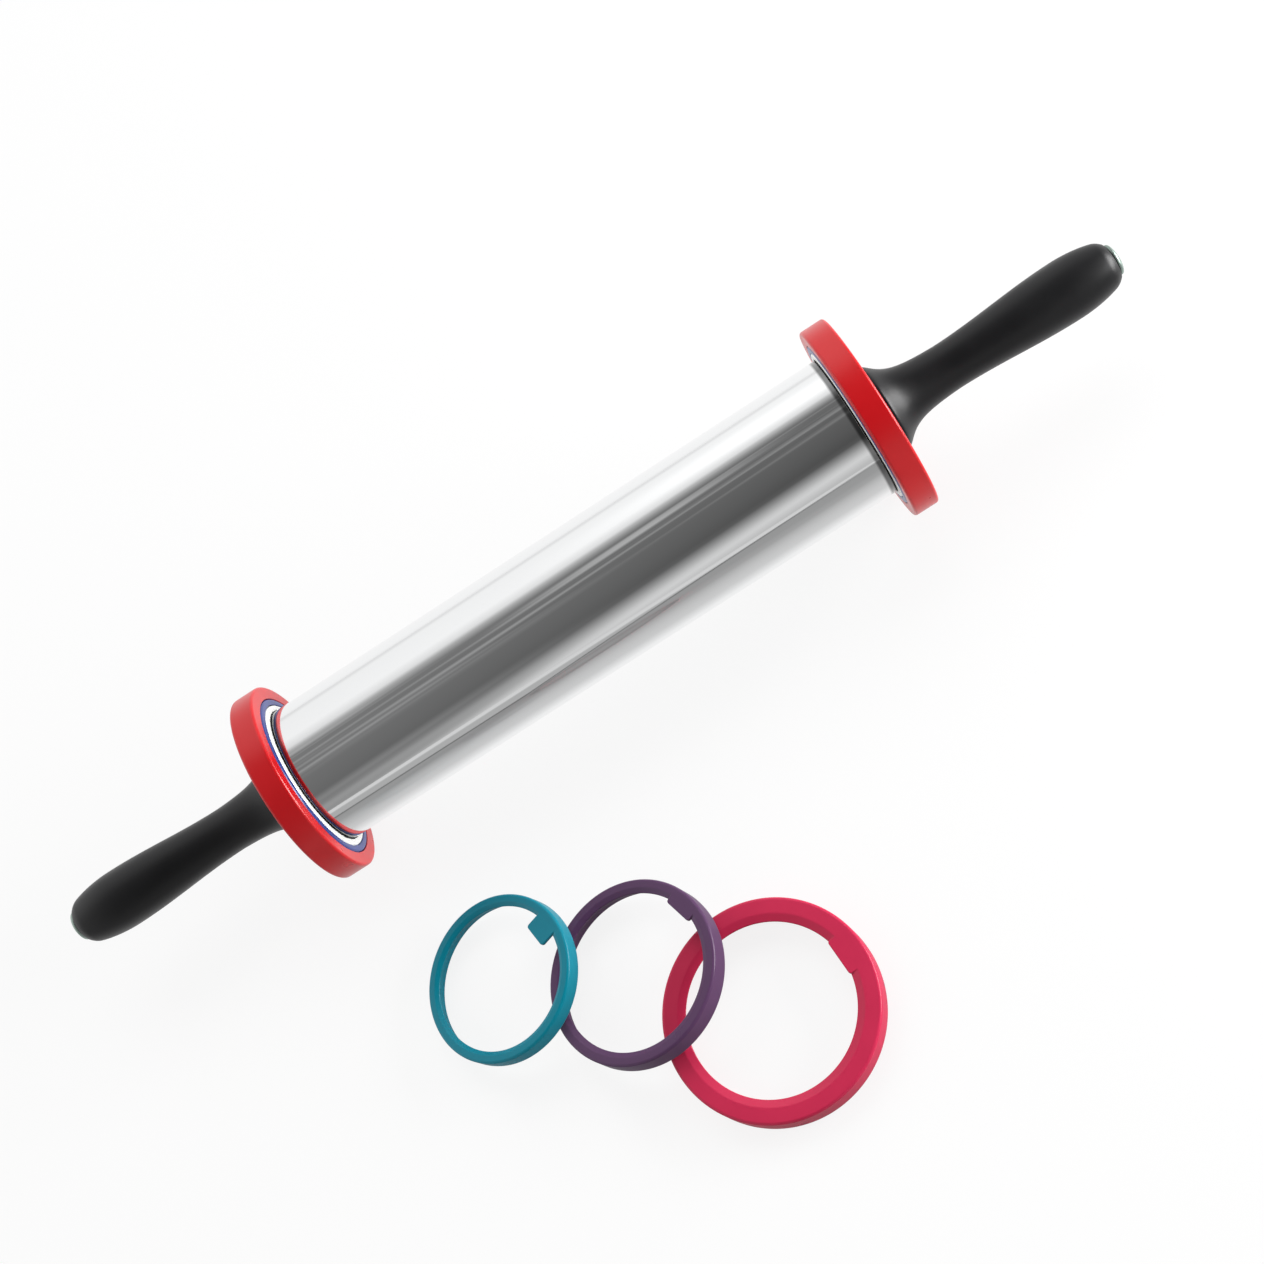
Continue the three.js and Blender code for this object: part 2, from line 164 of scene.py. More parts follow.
class HandleSizes(bpy.types.PropertyGroup):
    """Sizes of the handles and of the caps at their tips."""

    rim: length("Flare rim", 1.2 * MM, "Length of the flare's straight rim")
    rim_edge: length("Rim edge", 0.55 * MM, "Rounding of the flare's rim")
    neck: length("Neck radius", 9.6 * MM, "Radius at the thinnest place")
    belly: length("Belly radius", 12.25 * MM, "Radius at the thickest place")
    tip: length("Tip radius", 8.55 * MM, "Radius where the grip meets the cap")
    tip_drop: length("Tip drop", 1.2 * MM, "How far the grip rounds inward at the cap")
    tip_edge: length("Tip edge", 0.4 * MM, "Rounding of the grip's edge at the cap")
    neck_share: number("Neck place", 0.28, "Place of the neck as a share of the grip")
    belly_share: number("Belly place", 0.8, "Place of the belly as a share of the grip")
    tip_share: number("Tip place", 0.82, "Where the rounding starts, as a share from belly to end")
    sharpness: number("Flare sharpness", 8.0, "How fast the flare falls to the neck")
    curl: number("Flare curl", 1.5, "How long the flare stays wide behind its rim")
    core: length("Core radius", 7.2 * MM, "Radius of the hard core inside the grip")
    core_drop: length("Core drop", 0.8 * MM, "How much the core narrows at the cap")
    core_taper: length("Core taper", 4 * MM, "Length of the core's narrowing end")
    nose: length("Nose radius", 6.3 * MM, "Radius of the core's nose")
    shank: length("Shank radius", 5.5 * MM, "Radius of the cap nut's shank")
    cap_rim: length("Cap rim", 0.85 * MM, "Black rim between the cap and the grip's edge")
    cap_edge: length("Cap edge", 0.6 * MM, "Straight edge of the cap below its dome")
    cap_floor: length("Cap floor", 3.3 * MM, "Metal between the nut's bore and its flange")


class RingSizes(bpy.types.PropertyGroup):
    """Sizes of the thickness rings. Each row is for the small, medium and large ring."""

    lips: lengths("Lips", (2 * MM, 2.6 * MM, 3.4 * MM), "How far each lip reaches inside its seat")
    bevels: lengths("Bevels", (1.6 * MM, 2 * MM, 3 * MM), "Width of the slope round each bore")
    tab_widths: lengths("Tab widths", (11 * MM, 13 * MM, 15 * MM), "Width of each finger tab")
    tab_reaches: lengths(
        "Tab reaches", (6.3 * MM, 2 * MM, 1.3 * MM), "How far each tab passes its lip"
    )
    lip_thickness: length("Lip thickness", 1.6 * MM, "Thickness of the lips and tabs")
    bevel_drop: length("Bevel drop", 1.0 * MM, "How far the slope falls below the face")
    edge: length("Edge", 1.15 * MM, "Rounding of the outer edges")
    soft_edge: length("Soft edge", 0.3 * MM, "Rounding of the inner edges")
    tab_corner: length("Tab corner", 1.2 * MM, "Rounding of the tabs' corners")
    tab_edge: length("Tab edge", 0.35 * MM, "Rounding of the tabs' edges")
    gap: length("Gap", 0.15 * MM, "Dark line between two nested rings")


class PinColours(bpy.types.PropertyGroup):
    """Colours of the finishes."""

    steel: colour("Polished steel", 0.945, 0.948, 0.95, "Barrel")
    ground: colour("Ground steel", 0.80, 0.81, 0.82, "Bearings, axle and washers")
    spring: colour("Spring steel", 0.42, 0.43, 0.45, "Clips and cages")
    cap: colour("Cap", 0.62, 0.68, 0.65, "Domed caps")
    nylon: colour("Black nylon", 0.10, 0.10, 0.105, "Plugs and cores")
    grip: colour("Soft grip", 0.062, 0.062, 0.07, "Handle grips")
    white: colour("White", 0.95, 0.955, 0.94, "Small rings on the pin")
    blue: colour("Blue", 0.16, 0.22, 0.50, "Medium rings on the pin")
    red: colour("Red", 0.78, 0.045, 0.08, "Large rings on the pin")
    teal: colour("Teal", 0.01, 0.50, 0.58, "Small spare ring")
    purple: colour("Purple", 0.345, 0.23, 0.365, "Medium spare ring")
    crimson: colour("Crimson", 0.78, 0.165, 0.31, "Large spare ring")
    floor: colour("Floor", 0.98, 0.98, 0.98, "Floor under the pin")


class StudioSettings(bpy.types.PropertyGroup):
    """The camera's place round the pin's axis, and the lights."""

    distance: length("Distance", 749.3 * MM, "From the camera to the pin's axis")
    foot: length("Foot", 83.69 * MM, "Place along the pin that the camera stands beside")
    elevation: turn("Elevation", 60.0, "The camera's height round the pin's axis")
    yaw: turn("Yaw", 5.573, "Turn of the view to the side")
    pitch: turn("Pitch", -1.55, "Turn of the view up or down")
    roll: turn("Roll", 32.819, "Turn of the picture about the line of sight")
    view_angle: turn("View angle", 36.48, "Angle that the picture takes in")
    key_power: number("Key power", 9.0, "Strength of the large softbox behind the pin, in watts")
    side_power: number("Side power", 22.0, "Strength of the lamp beyond the right end, in watts")
    world: number("World strength", 1.1, "Brightness of the surroundings")
    slant: number("Slant", 0.37, "How much the surroundings' bands run askew to the pin")
    side_rise: number("Side rise", 0.4, "How much brighter the surroundings are at the right end")
    left_haze: number("Left haze", 0.2, "Even light that grows toward the pin's left end")
    left_glow: number("Left glow", 0.5, "Added brightness of the wall beyond the pin's left end")
    right_shade: number("Right shade", 0.5, "Share of light left on the wall beyond the right end")
    streaks: number("Streaks", 0.5, "Strength of the streaks in the dark band")
    floor_glow: number("Floor glow", 0.85, "Share of plain white in the floor that the camera sees")


GROUPS = {
    "pin_barrel": BarrelSizes,
    "pin_bearing": BearingSizes,
    "pin_axle": AxleSizes,
    "pin_handle": HandleSizes,
    "pin_ring": RingSizes,
    "pin_colours": PinColours,
    "pin_studio": StudioSettings,
}


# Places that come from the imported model


def pin_axis():
    """Where the pin's axis crosses the plane X = 0."""
    low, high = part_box("axle_rod")
    return Vector((0.0, (low.y + high.y) / 2, (low.z + high.z) / 2))


def span(node):
    """(start, end, radius) of a round node at the right end, along and about the pin's axis."""
    low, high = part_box(node)
    return low.x, high.x, (high.z - low.z) / 2


# Shapes


def new_object(name, data):
    """An object with its data, in the scene."""
    made = bpy.data.objects.new(name, data)
    bpy.context.scene.collection.objects.link(made)
    return made


def mesh_object(name, mesh):
    """An object made of a mesh, which is used up."""
    data = bpy.data.meshes.new(name)
    mesh.to_mesh(data)
    mesh.free()
    return new_object(name, data)


def move(mesh, offset):
    """Moves a whole mesh."""
    bmesh.ops.translate(mesh, vec=offset, verts=mesh.verts[:])


def block(extent, middle):
    """A box of that extent about its middle."""
    mesh = bmesh.new()
    bmesh.ops.create_cube(mesh, size=1.0)
    bmesh.ops.scale(mesh, vec=extent, verts=mesh.verts[:])
    move(mesh, middle)
    return mesh


def outline(points):
    """A face in the XZ plane through (place along X, radius, rounding) points."""
    mesh = bmesh.new()
    corners = [mesh.verts.new((along, 0.0, radius)) for along, radius, _ in points]
    mesh.faces.new(corners)
    for corner, (_, _, rounding) in zip(corners, points):
        if rounding:
            size = {"offset": rounding, "segments": CORNER_STEPS}
            bmesh.ops.bevel(mesh, geom=[corner], affect="VERTICES", **size, **BEVEL)
    return mesh


def sleeve(start, end, inner, outer, edge):
    """The outline points of a plain round sleeve with rounded corners."""
    corners = [(start, inner), (end, inner), (end, outer), (start, outer)]
    return [(*corner, edge) for corner in corners]


def turned(points, steps):
    """A solid turned about the X axis, from an outline that closes on itself or on the axis."""
    mesh = outline(points)
    bmesh.ops.delete(mesh, geom=mesh.faces[:], context="FACES_ONLY")
    for edge in mesh.edges[:]:
        if all(vert.co.z < TINY for vert in edge.verts):
            mesh.edges.remove(edge)
    bmesh.ops.spin(
        mesh,
        geom=mesh.verts[:] + mesh.edges[:],
        cent=(0, 0, 0),
        axis=(1, 0, 0),
        angle=math.tau,
        steps=steps,
        use_merge=True,
    )
    bmesh.ops.remove_doubles(mesh, verts=mesh.verts[:], dist=MERGE)
    bmesh.ops.recalc_face_normals(mesh, faces=mesh.faces[:])
    return mesh


def combined(body, tool, operation):
    """The union or difference of two closed meshes, which are both used up."""
    objects = [mesh_object("combining", mesh) for mesh in (body, tool)]
    modifier = objects[0].modifiers.new("Combine", "BOOLEAN")
    modifier.operation = operation
    modifier.solver = "EXACT"
    modifier.object = objects[1]
    result = bmesh.new()
    result.from_object(objects[0], bpy.context.evaluated_depsgraph_get())
    for each in objects:
        data = each.data
        bpy.data.objects.remove(each)
        bpy.data.meshes.remove(data)
    return result


def place_at_end(mesh, side):
    """Moves a mesh that was made about X = 0 for the right end to its end of the pin."""
    if side == "left":
        half_turn = Matrix.Rotation(math.pi, 3, "Z")
        bmesh.ops.rotate(mesh, matrix=half_turn, verts=mesh.verts[:])
    move(mesh, pin_axis())


# Finishes

# Noise patterns: how dense they are along X, Y and Z, and how much fine detail they have
DRAWING_LINES = ((3.0, 700.0, 700.0), 4.0)
TURNING_MARKS = ((2500.0, 120.0, 120.0), 3.0)
PLASTIC_CLOUDS = ((60.0, 60.0, 60.0), 3.0)
PLASTIC_GRAIN = ((900.0, 900.0, 900.0), 2.0)
RUBBER_CLOUDS = ((60.0, 60.0, 60.0), 6.0)
RUBBER_GRAIN = ((2600.0, 2600.0, 2600.0), 3.0)

# The range in which most of a noise lies, and its middle
NOISE_LOW, NOISE_MIDDLE, NOISE_HIGH = 0.3, 0.5, 0.7

# How strongly the plastics shine
RING_SHINE, SPARE_SHINE = 0.5, 0.25

# Painted shade at the barrel's ends, a dark band that stands for the shade and dark reflection
# where the barrel meets the rings: how far from the end it starts and is darkest, and the
# share of the colour that is left there
END_PAINTED_SHADE = (2.8 * MM, 1.6 * MM, 0.25)


def feed(tree, socket, value):
    """Gives an input a plain value, or links another node's output to it."""
    if isinstance(value, bpy.types.NodeSocket):
        tree.links.new(value, socket)
    else:
        socket.default_value = value


def add_node(tree, kind, sockets=None, **settings):
    """A shader node with its settings and its inputs."""
    node = tree.nodes.new("ShaderNode" + kind)
    for key, value in settings.items():
        setattr(node, key, value)
    for key, value in (sockets or {}).items():
        feed(tree, node.inputs[key], value)
    return node


def calculate(tree, operation, *values):
    """The result of a maths node on other nodes' outputs or plain numbers."""
    node = add_node(tree, "Math", operation=operation)
    for socket, value in zip(node.inputs, values):
        feed(tree, socket, value)
    return node.outputs["Value"]


def between(tree, value, start, end, low, high, shape="SMOOTHSTEP"):
    """A change from low to high as a value goes from start to end, smooth or straight."""
    ends = {"From Min": start, "From Max": end, "To Min": low, "To Max": high}
    node = add_node(tree, "MapRange", {"Value": value, **ends}, interpolation_type=shape)
    return node.outputs["Result"]


def split_place(tree, kind):
    """The three parts of a texture coordinate."""
    place = add_node(tree, "TexCoord").outputs[kind]
    return add_node(tree, "SeparateXYZ", {"Vector": place}).outputs


def new_material(name, colour, **sockets):
    """A material with a Principled shader. Returns the material, its node tree and the shader."""
    material = bpy.data.materials.new(name)
    material.use_nodes = True
    tree = material.node_tree
    tree.nodes.clear()
    values = {key.replace("_", " "): value for key, value in sockets.items()}
    shader = add_node(tree, "BsdfPrincipled", {"Base Color": (*colour, 1.0), **values})
    add_node(tree, "OutputMaterial", {"Surface": shader.outputs["BSDF"]})
    return material, tree, shader


def noise_pattern(tree, density, detail):
    """Noise on Object coordinates, with its own density along each axis."""
    place = add_node(tree, "TexCoord").outputs["Object"]
    place = add_node(tree, "Mapping", {"Vector": place, "Scale": density}).outputs["Vector"]
    sockets = {"Vector": place, "Scale": 1.0, "Detail": detail, "Roughness": 0.55}
    return add_node(tree, "TexNoise", sockets).outputs["Fac"]


def vary(tree, noise, shader, low, high):
    """Drives a shader's roughness with a noise, between two values."""
    rough = shader.inputs["Roughness"]
    rough.default_value = (low + high) / 2
    share = between(tree, noise, NOISE_LOW, NOISE_HIGH, low, high, shape="LINEAR")
    tree.links.new(share, rough)


def tint(tree, noise, shader, colour, dark, light):
    """Drives the base colour with a noise, between a darker and a lighter shade of it."""
    ramp = add_node(tree, "ValToRGB", {"Fac": noise})
    ends = ramp.color_ramp.elements
    for end, place, shade in ((ends[0], NOISE_LOW, dark), (ends[1], NOISE_HIGH, light)):
        end.position = place
        end.color = (*[min(1.0, shade * part) for part in colour], 1.0)
    tree.links.new(ramp.outputs["Color"], shader.inputs["Base Color"])


def roughen(tree, shader, noise, height, strength):
    """Adds a bump of that height, in metres, to a shader."""
    bump = add_node(tree, "Bump", {"Strength": strength, "Distance": height, "Height": noise})
    tree.links.new(bump.outputs["Normal"], shader.inputs["Normal"])


def polished_steel(colour):
    """Mirror-polished stainless steel with faint drawing lines, and painted shade at both ends."""
    material, tree, shader = new_material("polished_steel", colour, Metallic=1.0)
    # Painted shade: the base colour darkens over the last millimetres at each end of the barrel
    away = calculate(tree, "ABSOLUTE", split_place(tree, "Object")[0])
    end = span("barrel_tube")[1]
    start, full, least = END_PAINTED_SHADE
    share = between(tree, away, end - start, end - full, 1.0, least)
    shade = add_node(tree, "VectorMath", {"Vector": colour, "Scale": share}, operation="SCALE")
    tree.links.new(shade.outputs["Vector"], shader.inputs["Base Color"])
    lines = noise_pattern(tree, *DRAWING_LINES)
    vary(tree, lines, shader, low=0.035, high=0.07)
    roughen(tree, shader, lines, height=0.01 * MM, strength=0.1)
    return material


def machined_steel(name, colour, low, high):
    """Ground or blackened steel with fine turning marks across the axis."""
    material, tree, shader = new_material(name, colour, Metallic=1.0)
    marks = noise_pattern(tree, *TURNING_MARKS)
    vary(tree, marks, shader, low, high)
    tint(tree, marks, shader, colour, dark=0.86, light=1.06)
    roughen(tree, shader, marks, height=0.02 * MM, strength=0.15)
    return material


def moulded_plastic(name, colour, rough=0.3, shine=RING_SHINE):
    """Satin moulded plastic with a fine cloudy sheen."""
    material, tree, shader = new_material(name, colour, Specular_IOR_Level=shine)
    clouds = noise_pattern(tree, *PLASTIC_CLOUDS)
    vary(tree, clouds, shader, low=rough - 0.03, high=rough + 0.04)
    tint(tree, clouds, shader, colour, dark=0.97, light=1.03)
    grain = noise_pattern(tree, *PLASTIC_GRAIN)
    roughen(tree, shader, grain, height=0.01 * MM, strength=0.02)
    return material


def soft_touch(colour):
    """Soft-touch black rubber with a fine grain and a faint dusty sheen."""
    shares = {"Specular_IOR_Level": 0.36, "Sheen_Weight": 0.01}
    material, tree, shader = new_material("soft_touch", colour, **shares)
    clouds = noise_pattern(tree, *RUBBER_CLOUDS)
    vary(tree, clouds, shader, low=0.38, high=0.47)
    tint(tree, clouds, shader, colour, dark=0.85, light=1.15)
    grain = noise_pattern(tree, *RUBBER_GRAIN)
    roughen(tree, shader, grain, height=0.05 * MM, strength=0.25)
    return material


def make_finishes(colours):
    """Every material by the name of its slot in the record."""
    made = {
        "barrel_steel": polished_steel(colours.steel),
        "bearing_steel": machined_steel("ground_steel", colours.ground, low=0.18, high=0.32),
        "spring_steel": machined_steel("blackened_steel", colours.spring, low=0.35, high=0.5),
        "cap_metal": machined_steel("satin_cap", colours.cap, low=0.38, high=0.5),
        "black_nylon": moulded_plastic("black_nylon", colours.nylon, rough=0.45),
        "soft_grip": soft_touch(colours.grip),
    }
    for slots, shine in ((RING_SLOTS, RING_SHINE), (SPARE_SLOTS, SPARE_SHINE)):
        for slot in slots.values():
            name = slot.split("_")[1]
            made[slot] = moulded_plastic(name + "_plastic", getattr(colours, name), shine=shine)
    return made


finishes = {}


# Pieces


class PinOperator:
    """What the operators that add pieces share."""

    bl_options = {"REGISTER", "UNDO"}

    def add(self, mesh, node, body, slot):
        """Makes an object of a finished mesh, which stands for the node and moves with the body."""
        piece = mesh_object("fine_" + node, mesh)
        piece.data.shade_smooth()
        piece.data.materials.append(finishes[slot])
        normals = piece.modifiers.new("Face normals", "WEIGHTED_NORMAL")
        normals.keep_sharp = True
        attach(piece, body)
        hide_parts(node)
        return piece

    def add_turned(self, points, steps, side, name, body, slot):
        """Turns an outline about the pin's axis, and adds the piece at one end of the pin."""
        mesh = turned(points, steps)
        place_at_end(mesh, side)
        self.add(mesh, f"{name}_{side}", body, slot)


class ROLLINGPIN_OT_finishes(bpy.types.Operator):
    """Makes the materials that all pieces use"""

    bl_idname = "rolling_pin.finishes"
    bl_label = "Make Finishes"

    def execute(self, context):
        finishes.update(make_finishes(context.scene.pin_colours))
        return {"FINISHED"}


class ROLLINGPIN_OT_barrel(PinOperator, bpy.types.Operator):
    """Adds the polished steel tube"""

    bl_idname = "rolling_pin.barrel"
    bl_label = "Add Barrel"

    def execute(self, context):
        sizes = context.scene.pin_barrel
        start, end, radius = span("barrel_tube")
        points = sleeve(start, end, radius - sizes.wall, radius, sizes.tube_edge)
        tube = turned(points, BARREL_STEPS)
        move(tube, pin_axis())
        self.add(tube, "barrel_tube", "barrel", "barrel_steel")
        return {"FINISHED"}


class ROLLINGPIN_OT_plugs(PinOperator, bpy.types.Operator):
    """Adds the black plug that closes each end of the barrel"""

    bl_idname = "rolling_pin.plugs"
    bl_label = "Add End Plugs"

    def execute(self, context):
        sizes = context.scene.pin_barrel
        gap = sizes.clearance
        _, face, collar = span("end_plug_right")
        tube_end, barrel = span("barrel_tube")[1:]
        race_start, _, race = span("bearing_outer_race_right")
        hub_start = race_start - gap - sizes.shoulder
        seat = race + gap
        bore = span("bearing_inner_race_right")[2] + context.scene.pin_bearing.opening
        spigot = barrel - sizes.wall - gap
        spigot_start = tube_end - sizes.spigot_depth
        small = sizes.tube_edge
        points = [
            (hub_start, bore, small),
            (race_start - gap, bore, 0),
            (race_start - gap, seat, 0),
            (face, seat, small),
            (face, collar, sizes.collar_edge),
            (tube_end + gap, collar, small / 2),
            (tube_end + gap, spigot, 0),
            (spigot_start, spigot, small),
            (spigot_start, spigot - sizes.spigot_wall, small),
            (face - sizes.web, spigot - sizes.spigot_wall, small),
            (face - sizes.web, seat + sizes.hub_wall, small),
            (hub_start, seat + sizes.hub_wall, small),
        ]
        for side in SIDES:
            self.add_turned(points, BARREL_STEPS, side, "end_plug", "barrel", "black_nylon")
        return {"FINISHED"}


def groove(centre, pitch, shoulder, radius):
    """Outline points of the groove that a ball runs in, from low X to high X."""
    half = math.acos(abs(shoulder - pitch) / radius)
    inward = math.copysign(1.0, shoulder - pitch)
    angles = [half * (2 * step / CURVE_STEPS - 1) for step in range(CURVE_STEPS + 1)]
    return [
        (centre + radius * math.sin(angle), pitch + inward * radius * math.cos(angle), 0)
        for angle in angles
    ]


def ball_place(index, middle, pitch):
    """The centre of a ball, and its direction from the pin's axis."""
    angle = math.tau * index / BALL_COUNT
    across, up = math.cos(angle), math.sin(angle)
    return Vector((middle, pitch * across, pitch * up)), Vector((0, across, up))


class ROLLINGPIN_OT_bearings(PinOperator, bpy.types.Operator):
    """Adds the races, cage and balls of both bearings"""

    bl_idname = "rolling_pin.bearings"
    bl_label = "Add Ball Bearings"

    def execute(self, context):
        sizes = context.scene.pin_bearing
        low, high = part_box("bearing_ball_right_1")
        ball = (high.z - low.z) / 2
        middle = (low.x + high.x) / 2
        pitch = (low.y + high.y) / 2 - pin_axis().y
        for side in SIDES:
            for index in range(BALL_COUNT):
                self.add_ball(side, index, middle, pitch, ball)
            self.add_cage(sizes, side, middle, pitch, ball)
            self.add_races(sizes, side, middle, pitch, ball + sizes.ball_gap)
        return {"FINISHED"}

    def add_ball(self, side, index, middle, pitch, radius):
        centre, _ = ball_place(index, middle, pitch)
        mesh = bmesh.new()
        bmesh.ops.create_icosphere(
            mesh, subdivisions=BALL_SUBDIVISIONS, radius=radius, matrix=Matrix.Translation(centre)
        )
        place_at_end(mesh, side)
        self.add(mesh, f"bearing_ball_{side}_{index + 1}", f"ball_cage_{side}", "bearing_steel")

    def add_cage(self, sizes, side, middle, pitch, ball):
        start, end, _ = span("bearing_cage_right")
        low, high = pitch - sizes.cage_wall / 2, pitch + sizes.cage_wall / 2
        cage = turned(sleeve(start, end, low, high, sizes.cage_wall / 5), INNER_STEPS)
        pocket = ball + sizes.pocket_gap
        drills = bmesh.new()
        for index in range(BALL_COUNT):
            centre, outward = ball_place(index, middle, pitch)
            aim = outward.to_track_quat("Z", "X").to_matrix().to_4x4()
            bmesh.ops.create_cone(
                drills,
                cap_ends=True,
                segments=INNER_STEPS // 2,
                radius1=pocket,
                radius2=pocket,
                depth=4 * sizes.cage_wall,
                matrix=Matrix.Translation(centre) @ aim,
            )
        cage = combined(cage, drills, "DIFFERENCE")
        place_at_end(cage, side)
        self.add(cage, f"bearing_cage_{side}", f"ball_cage_{side}", "spring_steel")

    def add_races(self, sizes, side, middle, pitch, groove_radius):
        clearance = bpy.context.scene.pin_barrel.clearance
        start, end, outer = span("bearing_outer_race_right")
        bore = span("axle_rod")[2] + clearance
        for kind, body, face, shoulder in (
            ("outer", "barrel", outer, pitch + sizes.opening / 2),
            ("inner", "handles", bore, pitch - sizes.opening / 2),
        ):
            edge = sizes.race_edge
            points = [(start, face, edge), (start, shoulder, edge / 2)]
            points += groove(middle, pitch, shoulder, groove_radius)
            points += [(end, shoulder, edge / 2), (end, face, edge)]
            name = f"bearing_{kind}_race"
            self.add_turned(points, INNER_STEPS, side, name, body, "bearing_steel")


class ROLLINGPIN_OT_axle(PinOperator, bpy.types.Operator):
    """Adds the axle with its retaining clips and thrust washers"""

    bl_idname = "rolling_pin.axle"
    bl_label = "Add Axle"

    def execute(self, context):
        sizes = context.scene.pin_axle
        clearance = context.scene.pin_barrel.clearance
        end, radius = span("axle_rod")[1:]
        clip_start, clip_end, clip = span("axle_clip_right")
        floor = radius - sizes.groove_depth
        half = [
            (clip_start - clearance, radius, 0),
            (clip_start - clearance, floor, 0),
            (clip_end + clearance, floor, 0),
            (clip_end + clearance, radius, 0),
            (end - sizes.end_edge, radius, 0),
            (end, radius - sizes.end_edge, 0),
            (end, 0.0, 0),
        ]
        points = [(-along, away, rounding) for along, away, rounding in reversed(half)] + half
        axle = turned(points, INNER_STEPS)
        move(axle, pin_axis())
        self.add(axle, "axle_rod", "handles", "bearing_steel")
        for side in SIDES:
            self.add_clip(sizes, side, clip_start, clip_end, floor + clearance, clip)
            self.add_washer(sizes, side, radius + clearance)
        return {"FINISHED"}

    def add_clip(self, sizes, side, start, end, inner, outer):
        clip = turned(sleeve(start, end, inner, outer, sizes.plate_edge), INNER_STEPS)
        extent = (4 * (end - start), 2 * outer, sizes.clip_mouth)
        mouth = block(extent, ((start + end) / 2, outer, 0))
        clip = combined(clip, mouth, "DIFFERENCE")
        quarter_turn = Matrix.Rotation(math.pi / 2, 3, "X")
        bmesh.ops.rotate(clip, matrix=quarter_turn, verts=clip.verts[:])
        place_at_end(clip, side)
        self.add(clip, f"axle_clip_{side}", "handles", "spring_steel")

    def add_washer(self, sizes, side, bore):
        start, end, radius = span("thrust_washer_right")
        points = sleeve(start, end, bore, radius, sizes.plate_edge)
        self.add_turned(points, INNER_STEPS, side, "thrust_washer", "handles", "bearing_steel")


def grip_outline(sizes, start, end, flare, clearance):
    """Outline of the grip: flare, neck, belly and rounded tip round a straight bore."""
    reach = end - start
    rim = start + sizes.rim
    neck = start + sizes.neck_share * reach
    belly = start + sizes.belly_share * reach
    bore = sizes.core + clearance
    points = [(start, bore, 0), (start, flare, sizes.rim_edge)]
    for step in range(CURVE_STEPS + 1):
        t = (step / CURVE_STEPS) ** 2
        fall = (1 - t) / (1 + sizes.sharpness * t**sizes.curl)
        radius = sizes.neck + (flare - sizes.neck) * fall
        points.append((rim + t * (neck - rim), radius, 0))
    for step in range(1, CURVE_STEPS):
        t = step / CURVE_STEPS
        rise = math.sin(math.pi / 2 * t) ** 2
        radius = sizes.neck + (sizes.belly - sizes.neck) * rise
        points.append((neck + t * (belly - neck), radius, 0))
    taper = 1 - (sizes.tip / sizes.belly) ** 2
    for step in range(2 * CURVE_STEPS):
        t = step / (2 * CURVE_STEPS)
        rounding = max(0.0, (t - sizes.tip_share) / (1 - sizes.tip_share)) ** 2
        radius = sizes.belly * math.sqrt(1 - taper * t * t) - sizes.tip_drop * rounding
        points.append((belly + t * (end - belly), radius, 0))
    points.append((end, sizes.tip - sizes.tip_drop, sizes.tip_edge))
    points += [(end, bore - sizes.core_drop, 0), (end - sizes.core_taper, bore, 0)]
    return points


class ROLLINGPIN_OT_handles(PinOperator, bpy.types.Operator):
    """Adds the grips, their hard cores and the domed cap nuts"""

    bl_idname = "rolling_pin.handles"
    bl_label = "Add Handles"

    def execute(self, context):
        sizes = context.scene.pin_handle
        clearance = context.scene.pin_barrel.clearance
        start, end, flare = span("handle_grip_right")
        grip = grip_outline(sizes, start, end, flare, clearance)
        core = self.core_outline(sizes, start, clearance)
        cap = self.cap_outline(sizes, end, clearance)
        for side in SIDES:
            self.add_turned(grip, GRIP_STEPS, side, "handle_grip", "handles", "soft_grip")
            self.add_turned(core, INNER_STEPS, side, "handle_core", "handles", "black_nylon")
            self.add_turned(cap, INNER_STEPS, side, "end_cap_nut", "handles", "cap_metal")
        return {"FINISHED"}

    def core_outline(self, sizes, grip_start, clearance):
        nose_start, end, _ = span("handle_core_right")
        bore = span("axle_rod")[2] + clearance
        shank = sizes.shank + clearance
        step = span("end_cap_nut_right")[0] - clearance
        edge = sizes.cap_edge
        return [
            (nose_start, bore, 0),
            (step, bore, 0),
            (step, shank, 0),
            (end, shank, 0),
            (end, sizes.core - sizes.core_drop, 0),
            (end - sizes.core_taper, sizes.core, 0),
            (grip_start - clearance, sizes.core, edge / 2),
            (grip_start - clearance, sizes.nose, 0),
            (nose_start, sizes.nose, edge),
        ]

    def cap_outline(self, sizes, grip_end, clearance):
        start, top, _ = span("end_cap_nut_right")
        flange = grip_end + clearance
        radius = sizes.tip - sizes.tip_drop - sizes.cap_rim
        bore = span("axle_rod")[2] + clearance
        dome = flange + sizes.cap_edge
        points = [
            (flange - sizes.cap_floor, 0.0, 0),
            (flange - sizes.cap_floor, bore, 0),
            (start, bore, 0),
            (start, sizes.shank, sizes.cap_edge / 2),
            (flange, sizes.shank, 0),
            (flange, radius, sizes.cap_edge / 3),
        ]
        for step in range(CURVE_STEPS):
            angle = math.pi / 2 * step / CURVE_STEPS
            points.append((dome + (top - dome) * math.sin(angle), radius * math.cos(angle), 0))
        return points + [(top, 0.0, 0)]


